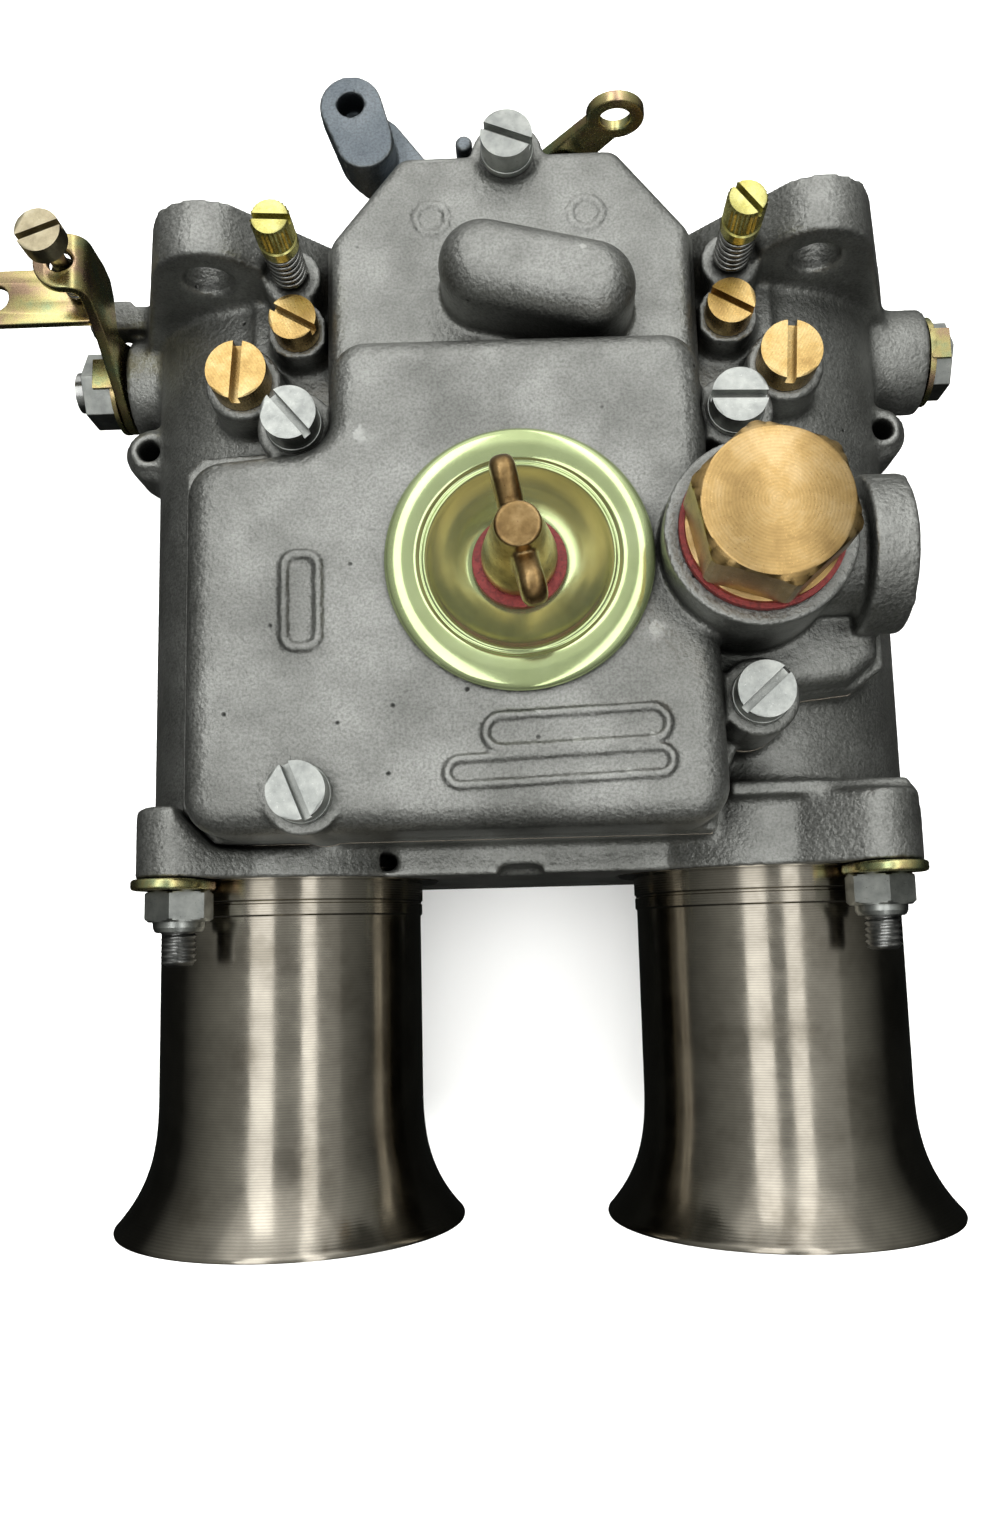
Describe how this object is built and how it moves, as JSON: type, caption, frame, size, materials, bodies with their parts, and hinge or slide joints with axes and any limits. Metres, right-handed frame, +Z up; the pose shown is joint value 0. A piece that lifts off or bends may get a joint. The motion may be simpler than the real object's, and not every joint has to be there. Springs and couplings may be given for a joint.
{
  "type": "sidedraft carburettor",
  "caption": "Twin-barrel sidedraft carburettor with ram pipes, butterfly throttles on one shaft, accelerator pump, float bowl, jets under a capped well and a cable-worked starter device.",
  "frame": {"origin": "middle of the manifold face, halfway between the two barrel axes", "axes": "+X along the throttle shaft, +Y out of the manifold face towards the engine, +Z up out of the top cover"},
  "size_m": [0.1901, 0.2122, 0.12],
  "materials": {
    "cast_alloy": "satin cast",
    "zinc_bright": "bright zinc plate",
    "zinc_yellow": "yellow zinc plate",
    "brass": "turned",
    "turned_alloy": "polished",
    "spring_steel": "bright",
    "shaft_steel": "ground",
    "fibre_red": "pressed fibre",
    "gasket_paper": "paper",
    "gauze": "woven"
  },
  "bodies": {
    "casting": {"body": "cast_alloy", "top_cover": "cast_alloy", "cover_gasket": "gasket_paper", "cover_screws": "zinc_bright", "cover_screw_washers": "zinc_bright", "inspection_cap": "zinc_yellow", "inspection_cap_seal": "gasket_paper", "wing_screw_washer": "fibre_red", "filter_plug": "brass", "filter_plug_gasket": "fibre_red", "fuel_filter": "gauze", "needle_valve_seat": "brass", "float_pin": "shaft_steel", "main_jet_stacks": "brass", "idle_jets": "brass", "ram_pipe_left": "turned_alloy", "ram_pipe_right": "turned_alloy", "ram_pipe_clips": "zinc_yellow", "ram_pipe_studs": "zinc_bright", "ram_pipe_nuts": "zinc_bright", "main_venturi_left": "turned_alloy", "main_venturi_right": "turned_alloy", "aux_venturi_left": "turned_alloy", "aux_venturi_right": "turned_alloy", "venturi_screws": "zinc_bright", "shaft_bearings": "shaft_steel", "pump_spring": "spring_steel", "mixture_springs": "spring_steel", "progression_plugs": "brass", "pump_jet_plugs": "brass", "starter_cover": "cast_alloy", "starter_cover_screws": "zinc_bright", "bowl_base": "cast_alloy", "bowl_base_gasket": "gasket_paper", "bowl_base_screws": "zinc_bright"},
    "throttle": {"throttle_shaft": "shaft_steel", "throttle_plate_left": "brass", "throttle_plate_right": "brass", "throttle_plate_screws": "brass", "shaft_nuts": "zinc_bright", "shaft_lock_tabs": "zinc_yellow", "throttle_lever": "zinc_yellow", "idle_speed_spring": "spring_steel", "pump_lever": "zinc_yellow"},
    "idle_screw": {"idle_speed_screw": "zinc_yellow"},
    "pump": {"pump_rod": "brass"},
    "float_arm": {"float": "brass"},
    "needle_valve": {"needle": "shaft_steel"},
    "choke_lever": {"starter_lever": "zinc_yellow", "starter_lever_nut": "zinc_bright"},
    "choke_valves": {"starter_valve_left": "brass", "starter_valve_right": "brass"},
    "mixture_left": {"mixture_screw_left": "zinc_yellow"},
    "mixture_right": {"mixture_screw_right": "zinc_yellow"},
    "cap_screw": {"wing_screw": "brass"}
  },
  "joints": [
    {"name": "throttle_turn", "type": "hinge", "parent": "casting", "child": "throttle", "pos_m": [0, -0.0135, 0], "axis": [1, 0, 0], "range_deg": [0, 80], "stiffness_Nm_per_rad": 0.12, "springref_deg": -20.05},
    {"name": "idle_speed_turn", "type": "hinge", "parent": "throttle", "child": "idle_screw", "pos_m": [-0.0816, -0.0028, 0.034], "axis": [0, 0, 1], "continuous": true},
    {"name": "pump_stroke", "type": "slide", "parent": "casting", "child": "pump", "axis": [0, 0, 1], "range_m": [-0.0105, 0], "deforming": ["pump_spring"]},
    {"name": "float_swing", "type": "hinge", "parent": "casting", "child": "float_arm", "pos_m": [0, -0.046, 0.031], "axis": [1, 0, 0], "range_deg": [-12, 0]},
    {"name": "needle_lift", "type": "slide", "parent": "casting", "child": "needle_valve", "axis": [0, 0, 1], "range_m": [-0.0014, 0]},
    {"name": "choke_turn", "type": "hinge", "parent": "casting", "child": "choke_lever", "pos_m": [0.002, 0.025, 0.002], "axis": [0, 1, 0], "range_deg": [-45, 0], "stiffness_Nm_per_rad": 0.05, "springref_deg": 20.05},
    {"name": "choke_valve_lift", "type": "slide", "parent": "casting", "child": "choke_valves", "axis": [0, 0, 1], "range_m": [0, 0.0065]},
    {"name": "mixture_left_turn", "type": "hinge", "parent": "casting", "child": "mixture_left", "pos_m": [-0.0386, -0.0096, 0.04], "axis": [0, 0, 1], "continuous": true},
    {"name": "mixture_right_turn", "type": "hinge", "parent": "casting", "child": "mixture_right", "pos_m": [0.0386, -0.0096, 0.04], "axis": [0, 0, 1], "continuous": true},
    {"name": "wing_screw_turn", "type": "hinge", "parent": "casting", "child": "cap_screw", "pos_m": [0.0004, -0.0675, 0.052], "axis": [0, 0, 1], "continuous": true}
  ],
  "couplings": [
    {"joint": "pump_stroke", "follows": "throttle_turn", "m_per_rad": -0.0068},
    {"joint": "needle_lift", "follows": "float_swing", "m_per_rad": 0.006},
    {"joint": "choke_valve_lift", "follows": "choke_turn", "m_per_rad": -0.0076}
  ]
}
